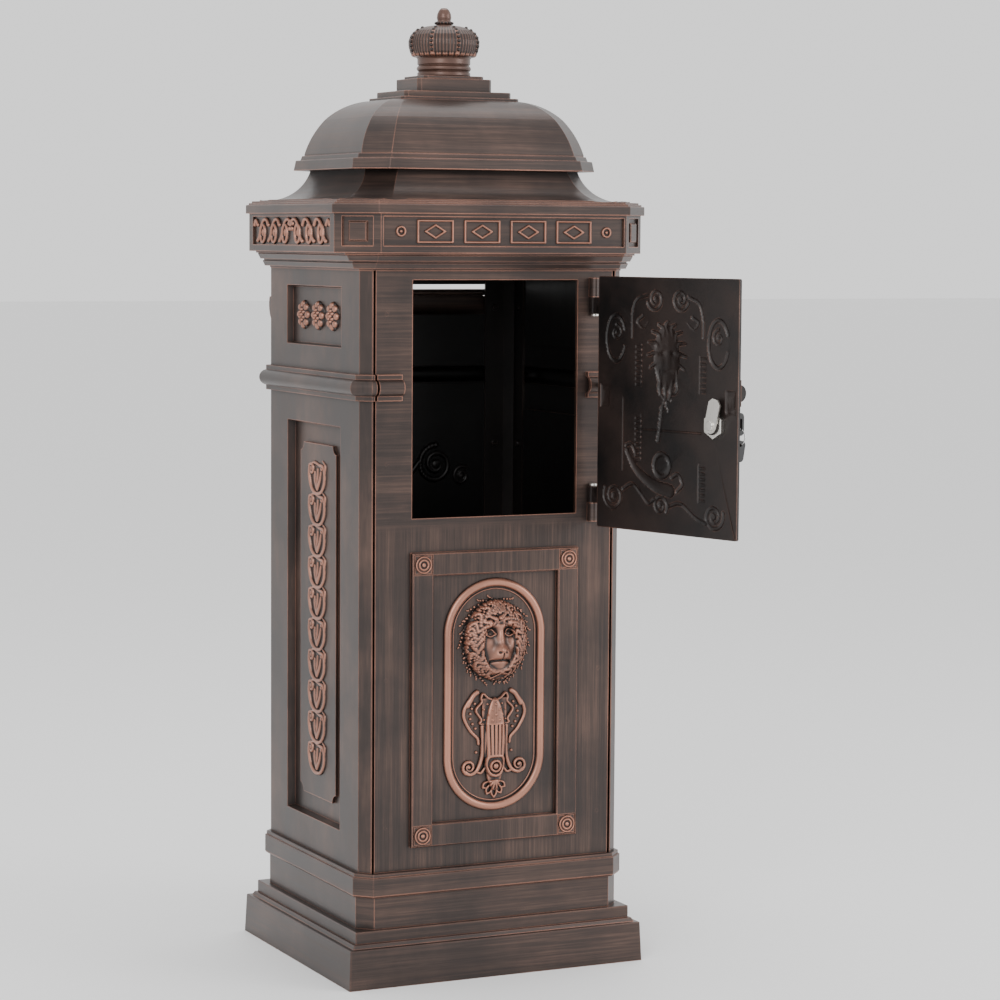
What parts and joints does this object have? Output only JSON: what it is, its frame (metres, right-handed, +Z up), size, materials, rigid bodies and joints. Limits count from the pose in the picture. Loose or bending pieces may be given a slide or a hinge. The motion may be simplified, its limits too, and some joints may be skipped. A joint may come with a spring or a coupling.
{
  "type": "pillar letterbox",
  "caption": "Free-standing cast pillar letterbox with a stepped foot, framed panels, hinged lockable door, hollow domed roof with a crown finial and a flap-covered rear mail slot.",
  "frame": {"origin": "middle of the foot's underside, at ground level", "axes": "+X along the front from left to right, -Y out of the front, +Z up"},
  "size_m": [0.3808, 0.5117, 1.025],
  "materials": {
    "dark_bronze_casting": "dark brown-black bronze paint, satin, with copper rubbed on edges and raised work",
    "black_inner_metal": "near-black satin paint",
    "zinc_steel": "zinc-plated, satin",
    "plated_key_steel": "nickel-plated, worn",
    "black_plastic": "moulded black, fine texture"
  },
  "bodies": {
    "pillar": {"ground_plate": "black_inner_metal", "ground_plate_screws": "zinc_steel", "base_plinth": "dark_bronze_casting", "floor_plate": "black_inner_metal", "floor_bolts": "zinc_steel", "floor_nuts": "zinc_steel", "front_panel": "dark_bronze_casting", "back_panel": "dark_bronze_casting", "side_panel_left": "dark_bronze_casting", "side_panel_right": "dark_bronze_casting", "panel_screws": "zinc_steel", "corner_angle_front_left": "black_inner_metal", "corner_angle_front_right": "black_inner_metal", "corner_angle_back_left": "black_inner_metal", "corner_angle_back_right": "black_inner_metal", "cornice": "dark_bronze_casting", "cornice_bolts": "zinc_steel", "cornice_nuts": "zinc_steel", "roof_skirt": "dark_bronze_casting", "skirt_screws": "zinc_steel", "dome_cap": "dark_bronze_casting", "dome_screws": "zinc_steel", "finial_plinth": "dark_bronze_casting", "crown_finial": "dark_bronze_casting", "finial_stud": "zinc_steel", "finial_washer": "zinc_steel", "finial_nut": "zinc_steel", "door_hinge_pin_upper": "zinc_steel", "door_hinge_pin_lower": "zinc_steel", "flap_pins": "zinc_steel"},
    "door": {"door": "dark_bronze_casting", "lock_barrel": "zinc_steel", "lock_nut": "zinc_steel"},
    "lock": {"lock_plug": "plated_key_steel", "lock_cam": "zinc_steel", "lock_cam_screw": "zinc_steel", "key_blade": "plated_key_steel", "key_head": "black_plastic"},
    "ring": {"key_ring": "plated_key_steel"},
    "spare_key": {"spare_key_blade": "plated_key_steel", "spare_key_head": "black_plastic"},
    "flap": {"mail_flap": "dark_bronze_casting"}
  },
  "joints": [
    {"name": "door_hinge", "type": "hinge", "parent": "pillar", "child": "door", "pos_m": [0.113, -0.141, 0.607], "axis": [0, 0, 1], "range_deg": [-106, 12]},
    {"name": "lock_turn", "type": "hinge", "parent": "door", "child": "lock", "pos_m": [0.16128, -0.32024, 0.5907], "axis": [0.9613, 0.2756, 0], "range_deg": [0, 90]},
    {"name": "ring_swing", "type": "hinge", "parent": "lock", "child": "ring", "pos_m": [0.19271, -0.31122, 0.5858], "axis": [-0.2756, 0.9613, 0], "range_deg": [-10, 10]},
    {"name": "spare_key_swing", "type": "hinge", "parent": "ring", "child": "spare_key", "pos_m": [0.19271, -0.31122, 0.5698], "axis": [-0.2756, 0.9613, 0], "range_deg": [-12, 12]},
    {"name": "flap_hinge", "type": "hinge", "parent": "pillar", "child": "flap", "pos_m": [0, 0.1392, 0.717], "axis": [1, 0, 0], "range_deg": [0, 75]}
  ]
}
